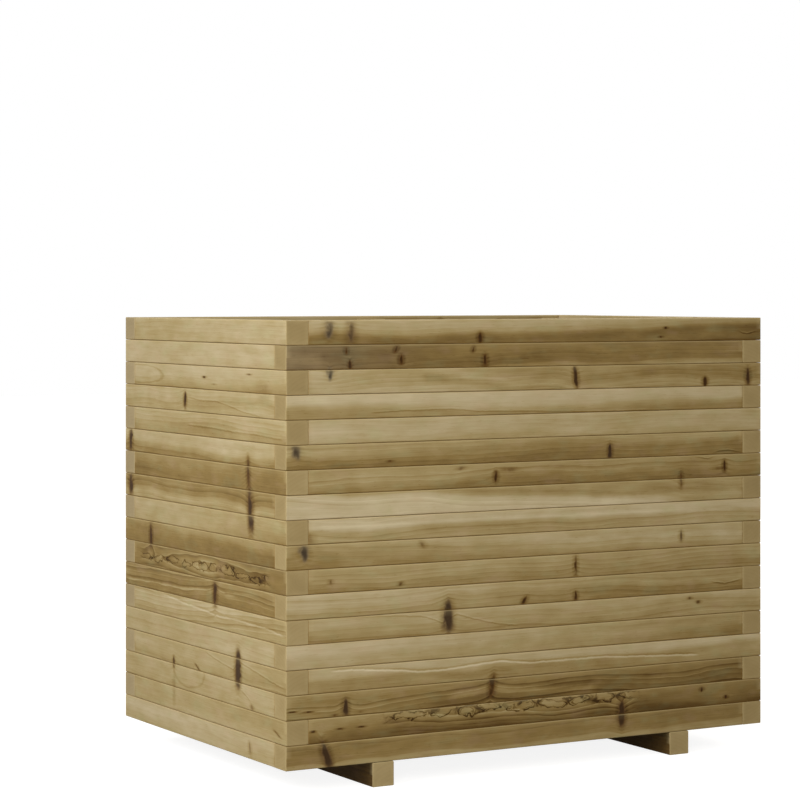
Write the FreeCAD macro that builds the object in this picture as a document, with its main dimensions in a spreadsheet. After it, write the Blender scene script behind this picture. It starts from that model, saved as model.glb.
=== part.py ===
"""Wooden planter: eighteen courses of square timber slats that lock like bricks at the corners.

Every course is a ring of four slats. Each slat covers one corner and butts against its neighbour at the
other, so all the long slats are alike, and so are all the short ones. The next course runs round the other
way, which locks the corners. Posts in the corners and a batten on each long wall hold the courses together
with screws driven from inside. Two foot rails carry the walls and the spaced floor boards, so that water
drains away under the box.

Millimetres, +Z up. X runs along the long walls and the front wall faces -Y. The origin is on the ground,
under the middle of the box.
"""

import FreeCAD, Part
import math
import os

import Sketcher
from FreeCAD import Rotation, Vector

# Driving dimensions: alias, value and what it is.
SIZES = [
    ("planter_width", 900, "outside, along the long walls"),
    ("planter_depth", 600, "outside, along the short walls"),
    ("course_count", 18, "rings of slats"),
    ("slat_thickness", 38, "through the wall"),
    ("slat_height", 38, "one course"),
    ("slat_arris", 1.2, "chamfer on a slat's long edges"),
    ("rail_width", 38, "foot rail, along the long walls"),
    ("rail_height", 38, "foot rail, ground to the first course"),
    ("rail_inset", 150, "end of the planter to the outer side of a rail"),
    ("rail_arris", 1.5, "chamfer on a rail's long edges"),
    ("floor_board_count", 6, "boards across the depth"),
    ("floor_board_thickness", 18, "floor board"),
    ("floor_gap", 6, "drainage gap beside each floor board"),
    ("floor_end_gap", 2, "short wall to the end of a floor board"),
    ("floor_arris", 1.5, "chamfer on a floor board's long edges"),
    ("post_side", 38, "square corner post"),
    ("batten_width", 38, "wall batten, along the wall"),
    ("batten_thickness", 38, "wall batten, into the box"),
    ("post_arris", 1.5, "chamfer on posts and battens"),
    ("post_rim_drop", 5, "rim to the top of posts and battens"),
    ("wall_screw_length", 60, "screws from posts and battens into slats"),
    ("floor_screw_length", 45, "screws from floor boards into rails"),
    ("rail_screw_length", 50, "screws from rails into the first course"),
    ("screw_head_radius", 4.5, "countersunk head, across its corners"),
    ("screw_head_depth", 2.8, "height of the head's cone"),
    ("screw_shank_radius", 2.2, "under the head"),
    ("screw_tip_radius", 0.8, "at the point"),
    ("long_wall_screw_height", 14, "above a long slat's lower face"),
    ("short_wall_screw_height", 24, "above a short slat's lower face"),
    ("floor_screw_edge", 20, "edge of a floor board to its screw"),
    ("rail_screw_spread", 9, "screw to the middle of the joint, both ways"),
    ("counterbore_radius", 6, "pocket for a screw head under a rail"),
    ("counterbore_depth", 8, "how deep that pocket sinks the head"),
]

# A screw is drawn with flat sides, because there are hundreds.
SCREW_SIDES = 6

# Two unit directions are parallel when their cross product is shorter than this.
PARALLEL_SHARE = 1e-6

# Sizes worked out from the driving ones, as expressions for the features.
INNER_WIDTH = "(Sizes.planter_width - 2 * Sizes.slat_thickness)"
INNER_DEPTH = "(Sizes.planter_depth - 2 * Sizes.slat_thickness)"
LONG_SLAT = "(Sizes.planter_width - Sizes.slat_thickness)"
SHORT_SLAT = "(Sizes.planter_depth - Sizes.slat_thickness)"
FLOOR_TOP = "(Sizes.rail_height + Sizes.floor_board_thickness)"
RIM = "(Sizes.rail_height + Sizes.course_count * Sizes.slat_height)"
POST_TOP = f"({RIM} - Sizes.post_rim_drop)"
BOARD_PITCH = f"(({INNER_DEPTH} - Sizes.floor_gap) / Sizes.floor_board_count)"
BOARD_WIDTH = f"({BOARD_PITCH} - Sizes.floor_gap)"
RAIL_MIDDLE = "(Sizes.planter_width / 2 - Sizes.rail_inset - Sizes.rail_width / 2)"
WALL_MIDDLE = "((Sizes.planter_depth - Sizes.slat_thickness) / 2)"

# For each direction of grain: the origin plane of the section, the two axes that the sketch's own x and y
# follow, and the sign of the plane's normal along the grain.
SECTION_PLANES = {
    "X": ("YZ_Plane", "YZ", 1),
    "Y": ("XZ_Plane", "XZ", -1),
    "Z": ("XY_Plane", "XY", 1),
}

doc = FreeCAD.newDocument("Planter")
sheet = doc.addObject("Spreadsheet::Sheet", "Sizes")
for row, (alias, size, meaning) in enumerate(SIZES, start=1):
    sheet.set(f"A{row}", meaning)
    sheet.set(f"B{row}", str(size))
    sheet.setAlias(f"B{row}", alias)
doc.recompute()

sub_parts = []


def worked_out(expression):
    """What a size expression comes to, in millimetres."""
    return float(sheet.evalExpression(expression))


def origin_feature(body, role):
    """The body's own origin plane or axis of that role."""
    return next(f for f in body.Origin.OriginFeatures if f.Role == role)


def bind(sketch, name, kind, places, expression):
    """A named sketch dimension whose size comes from an expression."""
    index = sketch.addConstraint(Sketcher.Constraint(kind, *places, 1))
    sketch.renameConstraint(index, name)
    sketch.setExpression(f"Constraints.{name}", expression)


def section_sketch(body, plane, wide, tall):
    """A rectangle with one corner on the sketch's origin, its two sides bound to expressions."""
    sketch = body.newObject("Sketcher::SketchObject", "Section")
    sketch.AttachmentSupport = [(origin_feature(body, plane), "")]
    sketch.MapMode = "FlatFace"
    corners = [Vector(0, 0, 0), Vector(1, 0, 0), Vector(1, 1, 0), Vector(0, 1, 0)]
    for number, corner in enumerate(corners):
        sketch.addGeometry(Part.LineSegment(corner, corners[(number + 1) % len(corners)]), False)
    for number in range(len(corners)):
        sketch.addConstraint(Sketcher.Constraint("Coincident", number, 2, (number + 1) % len(corners), 1))
    for number in (0, 2):
        sketch.addConstraint(Sketcher.Constraint("Horizontal", number))
    for number in (1, 3):
        sketch.addConstraint(Sketcher.Constraint("Vertical", number))
    sketch.addConstraint(Sketcher.Constraint("Coincident", 0, 1, -1, 1))
    bind(sketch, "Wide", "DistanceX", (0, 1, 0, 2), wide)
    bind(sketch, "Tall", "DistanceY", (1, 1, 1, 2), tall)
    return sketch


def timber(label, grain, low, size, arris):
    """A straight piece of timber: its section padded along the grain, with its long edges eased.

    low is its lowest corner and size its extent, each three expressions for X, Y and Z.
    """
    body = doc.addObject("PartDesign::Body", label)
    body.Label = label
    body.AllowCompound = True
    plane, section_axes, sign = SECTION_PLANES[grain]
    low, size = dict(zip("XYZ", low)), dict(zip("XYZ", size))
    sketch = section_sketch(body, plane, size[section_axes[0]], size[section_axes[1]])
    sketch.setExpression("AttachmentOffset.Base.x", low[section_axes[0]])
    sketch.setExpression("AttachmentOffset.Base.y", low[section_axes[1]])
    start = low[grain] if sign > 0 else f"-({low[grain]} + {size[grain]})"
    sketch.setExpression("AttachmentOffset.Base.z", start)
    pad = body.newObject("PartDesign::Pad", "Length")
    pad.Profile = sketch
    pad.setExpression("Length", size[grain])
    doc.recompute()
    eased = body.newObject("PartDesign::Chamfer", "Arris")
    eased.Base = (pad, long_edges(pad.Shape, grain))
    eased.setExpression("Size", arris)
    body.Tip = eased
    sub_parts.append(body)
    return body


def long_edges(shape, grain):
    """Names of the edges that run along the grain."""
    along = Vector(*(float(axis == grain) for axis in "XYZ"))
    names = []
    for number, edge in enumerate(shape.Edges, start=1):
        if edge.tangentAt(edge.FirstParameter).cross(along).Length < PARALLEL_SHARE:
            names.append(f"Edge{number}")
    return names


def with_twin(body):
    """Adds the same slat in the opposite wall: a half turn about the middle of the planter."""
    twin = body.newObject("PartDesign::PolarPattern", "OppositeWall")
    twin.Axis = (origin_feature(body, "Z_Axis"), [""])
    twin.Angle = 360
    twin.Occurrences = 2
    twin.TransformMode = "Whole shape"
    body.Tip = twin


def slat_course(course):
    """One ring of slats. Odd courses lap the corners one way round, even courses the other way."""
    odd = course % 2 == 1
    level = f"Sizes.rail_height + {course - 1} * Sizes.slat_height"
    section = ("Sizes.slat_thickness", "Sizes.slat_height")
    long_start = "-Sizes.planter_width / 2" if odd else f"-{INNER_WIDTH} / 2"
    long_pair = timber(
        f"long_slats_course_{course:02d}",
        "X",
        (long_start, "-Sizes.planter_depth / 2", "0 mm"),
        (LONG_SLAT, *section),
        "Sizes.slat_arris",
    )
    short_start = f"-{INNER_DEPTH} / 2" if odd else "-Sizes.planter_depth / 2"
    short_pair = timber(
        f"short_slats_course_{course:02d}",
        "Y",
        ("-Sizes.planter_width / 2", short_start, "0 mm"),
        (section[0], SHORT_SLAT, section[1]),
        "Sizes.slat_arris",
    )
    for pair in (long_pair, short_pair):
        with_twin(pair)
        pair.setExpression("Placement.Base.z", level)


def foot_rail(label, side):
    """A rail under both long walls, flush with their outer faces, with sunk pockets for its screws."""
    left_start = "-Sizes.planter_width / 2 + Sizes.rail_inset"
    right_start = "Sizes.planter_width / 2 - Sizes.rail_inset - Sizes.rail_width"
    rail = timber(
        label,
        "Y",
        (left_start if side < 0 else right_start, "-Sizes.planter_depth / 2", "0 mm"),
        ("Sizes.rail_width", "Sizes.planter_depth", "Sizes.rail_height"),
        "Sizes.rail_arris",
    )
    pockets = rail.newObject("Sketcher::SketchObject", "PocketOutlines")
    pockets.AttachmentSupport = [(origin_feature(rail, "XY_Plane"), "")]
    pockets.MapMode = "FlatFace"
    pockets.setExpression("AttachmentOffset.Base.x", f"{side} * {RAIL_MIDDLE}")
    for end in (-1, 1):
        for turn in (-1, 1):
            circle = Part.Circle(Vector(turn, end, 0), Vector(0, 0, 1), sheet.counterbore_radius)
            number = pockets.addGeometry(circle, False)
            from_origin = (-1, 1, number, 3)
            spread = f"{turn} * Sizes.rail_screw_spread"
            bind(pockets, f"Radius{number}", "Radius", (number,), "Sizes.counterbore_radius")
            bind(pockets, f"Across{number}", "DistanceX", from_origin, spread)
            bind(pockets, f"Along{number}", "DistanceY", from_origin, f"{end} * {WALL_MIDDLE} + {spread}")
    doc.recompute()
    whole = rail.Shape.Volume
    cut = rail.newObject("PartDesign::Pocket", "Counterbores")
    cut.Profile = pockets
    cut.Reversed = True
    cut.setExpression("Length", "Sizes.counterbore_depth")
    rail.Tip = cut
    doc.recompute()
    if rail.Shape.Volume >= whole:
        raise SystemExit(f"{label}: the counterbores cut nothing")


def board_start(number):
    """Where a floor board's edge nearer the front lies. The gap at each wall is as wide as the others."""
    return f"(-{INNER_DEPTH} / 2 + Sizes.floor_gap + {number - 1} * {BOARD_PITCH})"


def floor_board(number):
    """A board along the box, resting on both rails, with a drainage gap on each side."""
    timber(
        f"floor_board_{number}",
        "X",
        (
            f"-{INNER_WIDTH} / 2 + Sizes.floor_end_gap",
            board_start(number),
            "Sizes.rail_height",
        ),
        (
            f"{INNER_WIDTH} - 2 * Sizes.floor_end_gap",
            BOARD_WIDTH,
            "Sizes.floor_board_thickness",
        ),
        "Sizes.floor_arris",
    )


def corner_post(label, side, end):
    """A post in an inner corner, standing on the floor and reaching almost to the rim."""
    at_low = {"X": f"-{INNER_WIDTH} / 2", "Y": f"-{INNER_DEPTH} / 2"}
    at_high = {
        "X": f"{INNER_WIDTH} / 2 - Sizes.post_side",
        "Y": f"{INNER_DEPTH} / 2 - Sizes.post_side",
    }
    low_x = at_low["X"] if side < 0 else at_high["X"]
    low_y = at_low["Y"] if end < 0 else at_high["Y"]
    timber(
        label,
        "Z",
        (low_x, low_y, FLOOR_TOP),
        ("Sizes.post_side", "Sizes.post_side", f"{POST_TOP} - {FLOOR_TOP}"),
        "Sizes.post_arris",
    )


def wall_batten(label, end):
    """A batten up the middle of a long wall, inside, on the floor as the posts are."""
    low_y = f"-{INNER_DEPTH} / 2" if end < 0 else f"{INNER_DEPTH} / 2 - Sizes.batten_thickness"
    timber(
        label,
        "Z",
        ("-Sizes.batten_width / 2", low_y, FLOOR_TOP),
        ("Sizes.batten_width", "Sizes.batten_thickness", f"{POST_TOP} - {FLOOR_TOP}"),
        "Sizes.post_arris",
    )


def screw_ring(radius, depth):
    """The corners of a screw's section, the first one given again at the end."""
    turns = [2 * math.pi * (number % SCREW_SIDES) / SCREW_SIDES for number in range(SCREW_SIDES + 1)]
    return [Vector(radius * math.cos(turn), radius * math.sin(turn), depth) for turn in turns]


def screw(length):
    """A countersunk screw that points along +Z, the flat of its head on the origin.

    Flat faces join one section to the next: the head's cone, then the shank, which tapers to the point.
    """
    rings = [
        screw_ring(sheet.screw_head_radius, 0),
        screw_ring(sheet.screw_shank_radius, sheet.screw_head_depth),
        screw_ring(sheet.screw_tip_radius, length),
    ]
    outlines = [rings[0], rings[-1]]
    for upper, lower in zip(rings, rings[1:]):
        for number in range(SCREW_SIDES):
            following = number + 1
            outlines.append([upper[number], upper[following], lower[following], lower[number], upper[number]])
    faces = [Part.Face(Part.makePolygon(outline)) for outline in outlines]
    return Part.Solid(Part.makeShell(faces))


def driven(length, heads, into):
    """One screw for each head position, all driven the same way."""
    model = screw(length)
    turned = Rotation(Vector(0, 0, 1), into)
    solids = []
    for head in heads:
        placed = model.copy()
        placed.Placement = FreeCAD.Placement(head, turned)
        solids.append(placed)
    return solids


def screw_group(label, solids):
    """Identical screws as separate solids of one sub-part."""
    group = doc.addObject("Part::Feature", label)
    group.Label = label
    group.Shape = Part.makeCompound(solids)
    sub_parts.append(group)


def course_levels(first, height):
    """The same height above the lower face of every course from the first one given."""
    courses = range(first - 1, int(sheet.course_count))
    return [sheet.rail_height + course * sheet.slat_height + height for course in courses]


def wall_screws():
    """Screws from the posts and battens into every slat, crossing in a post at two heights.

    The first long slats have none, because the rails hold them from below.
    """
    inner_x = worked_out(f"{INNER_WIDTH} / 2")
    inner_y = worked_out(f"{INNER_DEPTH} / 2")
    into_long, into_short, into_middle = [], [], []
    for end in (-1, 1):
        outward = Vector(0, end, 0)
        for level in course_levels(2, sheet.long_wall_screw_height):
            face = end * (inner_y - sheet.post_side)
            for side in (-1, 1):
                across = side * (inner_x - sheet.post_side / 2)
                into_long += driven(sheet.wall_screw_length, [Vector(across, face, level)], outward)
            face = end * (inner_y - sheet.batten_thickness)
            into_middle += driven(sheet.wall_screw_length, [Vector(0, face, level)], outward)
    for side in (-1, 1):
        outward = Vector(side, 0, 0)
        face = side * (inner_x - sheet.post_side)
        for level in course_levels(1, sheet.short_wall_screw_height):
            for end in (-1, 1):
                across = end * (inner_y - sheet.post_side / 2)
                into_short += driven(sheet.wall_screw_length, [Vector(face, across, level)], outward)
    screw_group("post_screws_long_walls", into_long)
    screw_group("post_screws_short_walls", into_short)
    screw_group("batten_screws", into_middle)


def base_screws():
    """Screws down through the floor boards into the rails, and up through the rails into the walls."""
    floor_top = worked_out(FLOOR_TOP)
    rail_middle = worked_out(RAIL_MIDDLE)
    wall_middle = worked_out(WALL_MIDDLE)
    into_rails, into_walls = [], []
    for side in (-1, 1):
        for number in range(1, int(sheet.floor_board_count) + 1):
            near_edge = worked_out(board_start(number))
            far_edge = near_edge + worked_out(BOARD_WIDTH)
            for along in (near_edge + sheet.floor_screw_edge, far_edge - sheet.floor_screw_edge):
                into_rails.append(Vector(side * rail_middle, along, floor_top))
        for end in (-1, 1):
            for turn in (-1, 1):
                across = side * rail_middle + turn * sheet.rail_screw_spread
                along = end * wall_middle + turn * sheet.rail_screw_spread
                into_walls.append(Vector(across, along, sheet.counterbore_depth))
    screw_group("floor_screws", driven(sheet.floor_screw_length, into_rails, Vector(0, 0, -1)))
    screw_group("rail_screws", driven(sheet.rail_screw_length, into_walls, Vector(0, 0, 1)))


def write_parts():
    """Checks every object and shape, then writes one file for each sub-part."""
    doc.recompute()
    for item in doc.Objects:
        if "Invalid" in item.State or "Error" in item.State:
            raise SystemExit(f"{item.Label} failed to build: {item.State}")
    for item in sub_parts:
        if item.Shape.isNull() or not item.Shape.isValid() or not item.Shape.Solids:
            raise SystemExit(f"{item.Label} has no valid solid")
    os.makedirs("parts", exist_ok=True)
    for item in sub_parts:
        item.Shape.exportStep(f"parts/{item.Label}.step")
    print(f"{len(sub_parts)} sub-parts, {sum(len(item.Shape.Solids) for item in sub_parts)} solids")


for side, side_name in ((-1, "left"), (1, "right")):
    foot_rail(f"foot_rail_{side_name}", side)
for number in range(1, int(sheet.floor_board_count) + 1):
    floor_board(number)
for course in range(1, int(sheet.course_count) + 1):
    slat_course(course)
for end, end_name in ((-1, "front"), (1, "back")):
    for side, side_name in ((-1, "left"), (1, "right")):
        corner_post(f"corner_post_{end_name}_{side_name}", side, end)
    wall_batten(f"wall_batten_{end_name}", end)
wall_screws()
base_screws()
write_parts()
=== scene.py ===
# %% [markdown]
# # A slatted wooden planting box
# Eighteen courses of square pine slats stand on two foot rails. At each corner the slats of one
# course run past the end of their neighbour, and the next course does it the other way round, so
# the corners lock like a pinwheel. The measured model comes first, and every piece below is
# dressed timber or steel that takes the place of one plain part of it.

# %% Load the measured model
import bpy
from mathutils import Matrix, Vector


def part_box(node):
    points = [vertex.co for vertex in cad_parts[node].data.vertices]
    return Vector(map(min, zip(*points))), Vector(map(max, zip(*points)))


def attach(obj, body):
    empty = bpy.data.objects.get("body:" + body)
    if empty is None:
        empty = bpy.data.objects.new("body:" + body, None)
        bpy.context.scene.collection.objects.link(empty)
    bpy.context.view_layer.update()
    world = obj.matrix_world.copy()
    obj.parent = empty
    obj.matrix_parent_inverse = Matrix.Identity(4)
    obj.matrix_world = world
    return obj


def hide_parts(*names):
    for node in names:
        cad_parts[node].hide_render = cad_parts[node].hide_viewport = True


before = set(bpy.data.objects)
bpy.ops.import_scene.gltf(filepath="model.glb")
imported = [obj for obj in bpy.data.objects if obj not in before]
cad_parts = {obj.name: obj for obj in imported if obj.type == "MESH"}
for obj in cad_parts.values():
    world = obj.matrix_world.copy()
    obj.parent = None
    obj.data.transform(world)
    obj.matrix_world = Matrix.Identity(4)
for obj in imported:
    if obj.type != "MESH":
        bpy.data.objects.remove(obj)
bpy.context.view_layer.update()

from types import SimpleNamespace

import bpy
import numpy as np

# %% [markdown]
# ## Camera
# The picture was taken from a little above the rim with the camera level, so upright edges stay
# upright and the lower part is brought in by shifting the film. The four lower and upper corners of
# the walls give the place, the turn and the focal length; only the upward shift is left over.

# %% Camera
scene = bpy.context.scene
scene.view_settings.view_transform = "Standard"

lens = bpy.data.cameras.new("view_from_front_left")
lens.sensor_width = 36.0
lens.lens = 117.02
lens.shift_y = -0.1351
camera = bpy.data.objects.new("view_from_front_left", lens)
camera.location = (-2.2580, -3.8040, 0.7651)
camera.rotation_euler = np.radians((90.0, 0.0, -29.80))
scene.collection.objects.link(camera)
scene.camera = camera
print("camera", tuple(camera.location), "lens", round(lens.lens, 1))

# %% [markdown]
# ## Shader maths as Python
# Wood is mostly arithmetic: distances from the heart of the tree, rings counted out from there, and
# soft steps between tones. A small class holds one socket and lets Python's own operators add the
# Math nodes, so a line of the recipe reads like the sum that it is.

# %% A field over the surface
class Field:
    """One output of a node, a number or colour that changes over a surface."""

    def __init__(self, tree, socket):
        self.tree = tree
        self.socket = socket

    def node(self, kind, settings=None, values=None, output=0):
        """Adds one node: first its settings, then its inputs as numbers, colours or Fields."""
        made = self.tree.nodes.new(kind)
        for name, setting in (settings or {}).items():
            setattr(made, name, setting)
        for name, value in (values or {}).items():
            if isinstance(value, Field):
                self.tree.links.new(value.socket, made.inputs[name])
            else:
                made.inputs[name].default_value = value
        return Field(self.tree, made.outputs[output])

    def into(self, shader, name):
        """Feeds this field to one socket of a shader."""
        self.tree.links.new(self.socket, shader.inputs[name])

    def maths(self, operation, *others):
        """A Math node on this field and on the other values that it takes."""
        return self.node("ShaderNodeMath", {"operation": operation},
                         dict(enumerate((self, *others))))

    def __add__(self, other):
        return self.maths("ADD", other)

    def __sub__(self, other):
        return self.maths("SUBTRACT", other)

    def __rsub__(self, other):
        return self.node("ShaderNodeMath", {"operation": "SUBTRACT"}, {0: other, 1: self})

    def __mul__(self, other):
        return self.maths("MULTIPLY", other)

    def __truediv__(self, other):
        return self.maths("DIVIDE", other)

    __radd__ = __add__
    __rmul__ = __mul__

    def hill(self):
        """e to the minus square: 1 where the field is nought, and soft slopes on both sides."""
        return (self * self * -1.0).maths("EXPONENT")

    def step(self, start, end, low=0.0, high=1.0):
        """A soft step: low at start, high at end, with no corner in between."""
        return self.node("ShaderNodeMapRange", {"interpolation_type": "SMOOTHSTEP"},
                         {"Value": self, "From Min": start, "From Max": end,
                          "To Min": low, "To Max": high})

    def parts(self):
        """The three numbers of a vector or colour."""
        split = self.node("ShaderNodeSeparateXYZ", None, {0: self})
        outputs = split.socket.node.outputs
        return [Field(self.tree, outputs[axis]) for axis in range(3)]

    def vector(self, *numbers):
        """Three numbers or fields as one vector."""
        return self.node("ShaderNodeCombineXYZ", None, dict(enumerate(numbers)))

    def noise(self, where, detail=1.0, roughness=0.5, output="Fac"):
        """Soft random clouds about one unit wide, 0 to 1 with a mean of one half."""
        return self.node("ShaderNodeTexNoise", {"noise_dimensions": "3D"},
                         {"Vector": where, "Scale": 1.0, "Detail": detail,
                          "Roughness": roughness}, output)

    def lot(self, output="Value"):
        """Drawn by lot from this number: one value from 0 to 1, or three as a colour."""
        return self.node("ShaderNodeTexWhiteNoise", {"noise_dimensions": "1D"},
                         {"W": self}, output)

    def blend(self, colour, other):
        """This field, 0 to 1, leads from one colour to the other."""
        return self.node("ShaderNodeMix", {"data_type": "RGBA"},
                         {0: self, 6: colour, 7: other}, 2)

# %% [markdown]
# Colours are easiest to name as a screen shows them, but a shader counts in light, so one helper
# changes them over. A second one starts an empty material with the one shader that all pieces use.

# %% Colours and materials
def paint(red, green, blue):
    """A colour as a screen shows it, 0 to 255, turned into the linear one that shaders use."""
    share = np.array([red, green, blue]) / 255.0
    linear = np.where(share <= 0.04045, share / 12.92, ((share + 0.055) / 1.055) ** 2.4)
    return (*linear.tolist(), 1.0)


def new_material(name):
    """An empty material: its first Field to build on, and its shader."""
    made = bpy.data.materials.new(name)
    made.use_nodes = True
    made.node_tree.nodes.clear()
    output = made.node_tree.nodes.new("ShaderNodeOutputMaterial")
    shader = made.node_tree.nodes.new("ShaderNodeBsdfPrincipled")
    made.node_tree.links.new(shader.outputs[0], output.inputs["Surface"])
    return made, Field(made.node_tree, shader.outputs[0]), shader


print("middle grey as light", round(paint(128, 128, 128)[0], 3))

# %% [markdown]
# ## Floor and background
# A studio sweep of paper would do, but a flat pale floor under a white sky is enough: the camera
# sees both as white, while the planks only get a plain, soft light from them. The light that falls
# from the sky is a little warm, as if it came back from wood and paper, and the camera doesn't see
# that tint.

# %% Floor and background
FLOOR_REACH = 14.0
FLOOR_GLOW = 0.88
SKY_LIGHT = 0.40
SKY_TINT = (1.045, 0.945, 0.80, 1.0)
WHITE = (1.0, 1.0, 1.0, 1.0)


def seen_directly(start):
    """1 for the camera and for what mirrors or glass show of the place, 0 for light that falls."""
    outputs = start.node("ShaderNodeLightPath").socket.node.outputs
    camera_ray, glossy_ray, glass_ray = [Field(start.tree, outputs[f"Is {kind} Ray"])
                                         for kind in ("Camera", "Glossy", "Transmission")]
    return camera_ray.maths("MAXIMUM", glossy_ray).maths("MAXIMUM", glass_ray)


world = bpy.data.worlds.new("white_studio")
world.use_nodes = True
world.node_tree.nodes.clear()
world_output = world.node_tree.nodes.new("ShaderNodeOutputWorld")
sky = world.node_tree.nodes.new("ShaderNodeBackground")
world.node_tree.links.new(sky.outputs[0], world_output.inputs[0])
sky_seen = seen_directly(Field(world.node_tree, sky.outputs[0]))
(sky_seen * (1.0 - SKY_LIGHT) + SKY_LIGHT).into(sky, "Strength")
sky_seen.blend(SKY_TINT, WHITE).into(sky, "Color")
scene.world = world

paper, paper_start, paper_shader = new_material("pale_paper_floor")
paper_shader.inputs["Base Color"].default_value = paint(165, 165, 163)
paper_shader.inputs["Roughness"].default_value = 0.9
paper_shader.inputs["Specular IOR Level"].default_value = 0.1
paper_shader.inputs["Emission Strength"].default_value = 1.0
glow = seen_directly(paper_start) * FLOOR_GLOW
paper_start.vector(glow, glow, glow).into(paper_shader, "Emission Color")

floor_mesh = bpy.data.meshes.new("pale_floor")
floor_corners = FLOOR_REACH * np.array([(-1, -1, 0), (1, -1, 0), (1, 1, 0), (-1, 1, 0)])
floor_mesh.from_pydata(floor_corners.tolist(), [], [(0, 1, 2, 3)])
floor_mesh.materials.append(paper)
pale_floor = bpy.data.objects.new("pale_floor", floor_mesh)
scene.collection.objects.link(pale_floor)
print("floor", 2.0 * FLOOR_REACH, "m wide")

# %% [markdown]
# ## Lamps
# One broad lamp high on the left makes the short wall the brighter one, and the long wall fades a
# little to the right. It is slightly cool, which evens out the warm sky on that side. A small lamp
# lifts the near corner and a third one keeps the back from going dull. Spot lamps would draw hard
# shadows in the joints, so all three are squares.

# %% Lamps
def soft_lamp(name, place, aim, width, watts, tint=(1.0, 1.0, 1.0)):
    """A square lamp at one place that looks at another."""
    lamp = bpy.data.lights.new(name, "AREA")
    lamp.color = tint
    lamp.size = width
    lamp.energy = watts
    holder = bpy.data.objects.new(name, lamp)
    holder.location = place
    direction = np.array(aim) - np.array(place)
    holder.rotation_euler = (np.arctan2(np.hypot(direction[0], direction[1]), -direction[2]), 0.0,
                             np.arctan2(direction[1], direction[0]) - np.pi / 2)
    holder.visible_camera = False
    scene.collection.objects.link(holder)
    print("lamp", name, "watts", watts)


soft_lamp("broad_lamp_left", (-4.0, -1.26, 2.65), (-0.3, 0.0, 0.4), 2.0, 125.0,
          (0.985, 1.012, 1.085))
soft_lamp("near_lamp_corner", (-1.6, -2.4, 1.3), (-0.1, -0.2, 0.38), 1.2, 30.0)
soft_lamp("broad_lamp_behind", (3.4, 3.0, 2.4), (0.1, 0.0, 0.4), 2.0, 75.0)

# %% [markdown]
# ## Sawn timber as a surface
# A slat could be a cube with a Bevel modifier, but then every slat has the same dead straight edge.
# Here the cross-section, a rectangle with rounded corners, is carried along the grain as one grid.
# The planer and the sander leave the corners a little rounder in one place than in another, and the
# faces a hair hollow, always inwards, so the slats meet in joints that open and close slightly.

# %% Section of one timber
MM = 0.001
ARC_STEPS = 3
CORNER_SUPPORT = 1.2


def smooth_drift(rng, along, reach, waves=4):
    """A slow random line from 0 to 1: sines of a few lengths near reach, with random starts."""
    lengths = reach * rng.uniform(0.6, 1.8, waves)
    starts = rng.uniform(0.0, 2.0 * np.pi, waves)
    sines = np.sin(2.0 * np.pi * along[:, None] / lengths + starts)
    return 0.5 + 0.5 * sines.mean(axis=1)


def rounded_section(half_across, half_up, arris, step):
    """Points round a rectangle with round corners. Each point is told by the side it stands on,
    from -1 to 1 in both directions, the way it faces, and its share in each of the four corners:
    place = side times (half size less arris) plus facing times arris."""
    side, facing, share = [], [], []
    corner_sides = np.array([(1, 1), (-1, 1), (-1, -1), (1, -1)], float)
    for corner in range(4):
        turn = np.pi / 2 * (corner + np.linspace(0, 1, ARC_STEPS + 1))
        side.append(np.repeat(corner_sides[corner:corner + 1], ARC_STEPS + 1, axis=0))
        facing.append(np.stack([np.cos(turn), np.sin(turn)], axis=1))
        share.append(np.repeat(np.eye(4)[corner:corner + 1], ARC_STEPS + 1, axis=0))
        flat = 2.0 * ((half_across, half_up)[corner % 2] - arris)
        lead = min(0.2, CORNER_SUPPORT / flat)
        inner = np.linspace(lead, 1.0 - lead, max(3, int(round(flat / step)) + 1))[:, None]
        after = (corner + 1) % 4
        side.append(corner_sides[corner] * (1 - inner) + corner_sides[after] * inner)
        facing.append(np.repeat(facing[-1][-1:], len(inner), axis=0))
        share.append(np.eye(4)[corner] * (1 - inner) + np.eye(4)[after] * inner)
    return np.concatenate(side), np.concatenate(facing), np.concatenate(share)


print("points round a slat", len(rounded_section(19.0, 19.0, 1.3, 9.0)[0]))

# %% [markdown]
# The same grid serves slats, posts, battens, boards and rails, which lie along different axes. So
# each stick gets a frame of its own, along the grain, across to the face that is seen, and up, and
# everything about wood is worked out in that frame.

# %% One stick and its frame
class Timber:
    """One stick: its box in mm, the axis of its grain, and the way its seen face looks."""

    def __init__(self, low, high, grain, seen):
        self.middle = (np.array(low) + np.array(high)) / 2.0
        self.along = np.eye(3)[grain]
        self.across = np.array(seen, float)
        self.up = 1.0 - self.along - np.abs(self.across)
        self.frame = np.stack([self.along, self.across, self.up])
        self.half = np.abs(self.frame) @ (np.array(high) - np.array(low)) / 2.0
        self.mirrored = np.linalg.det(self.frame) < 0

    def to_grain(self, points):
        """World mm to mm along the grain, across to the seen face, and up."""
        return (points - self.middle) @ self.frame.T

    def to_world(self, points):
        """The way back, from the stick's own mm to the world's."""
        return self.middle + points @ self.frame

# %% [markdown]
# The grid itself is a tube of such sections, closer together at the ends, where the edge of the saw
# cut is broken by a small quarter round.

# %% Grid of one timber
END_STEPS = 3
CAP_SHARES = np.array([0.3, 0.62, 0.93])
END_ARRIS, END_SUPPORT = 0.7, 1.2
ROUNDING_REACH, LEAST_ROUNDING, ROUNDING_SPREAD = 190.0, 0.72, 0.5
HOLLOW_REACH, LEAST_HOLLOWS = 340.0, (0.15, 0.5, 0.15, 0.5)


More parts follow.
